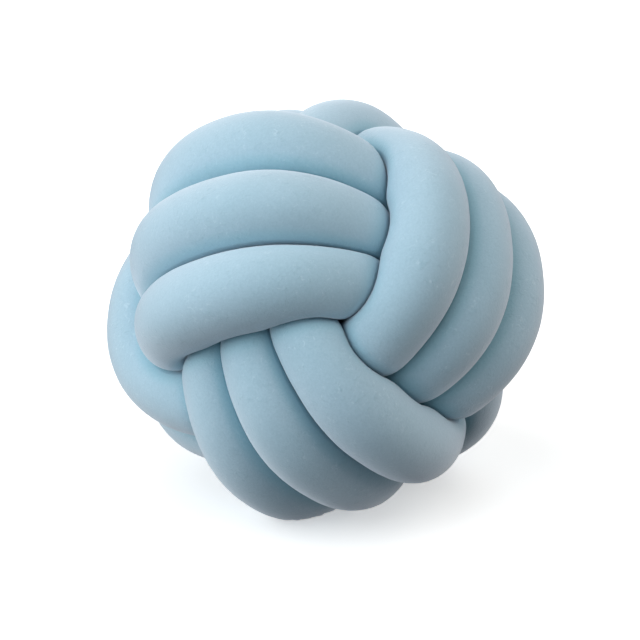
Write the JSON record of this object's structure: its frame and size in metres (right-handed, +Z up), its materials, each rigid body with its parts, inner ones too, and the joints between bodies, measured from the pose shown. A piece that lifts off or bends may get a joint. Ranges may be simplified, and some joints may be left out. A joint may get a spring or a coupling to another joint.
{
  "type": "round knotted cushion",
  "caption": "Round cushion tied as a ball from one stuffed velour tube, whose bands of parallel turns cross over and under each other.",
  "frame": {"origin": "centre of the box's underside, on the surface that the ball rests on", "axes": "+Z up from the resting spot, -Y towards the viewer in the picture, +X to the viewer's right"},
  "size_m": [0.2824, 0.2698, 0.259],
  "materials": {
    "velour": "pale blue short-pile velour with a soft sheen"
  },
  "bodies": {
    "root": {"knotted_tube": "velour"}
  },
  "joints": []
}
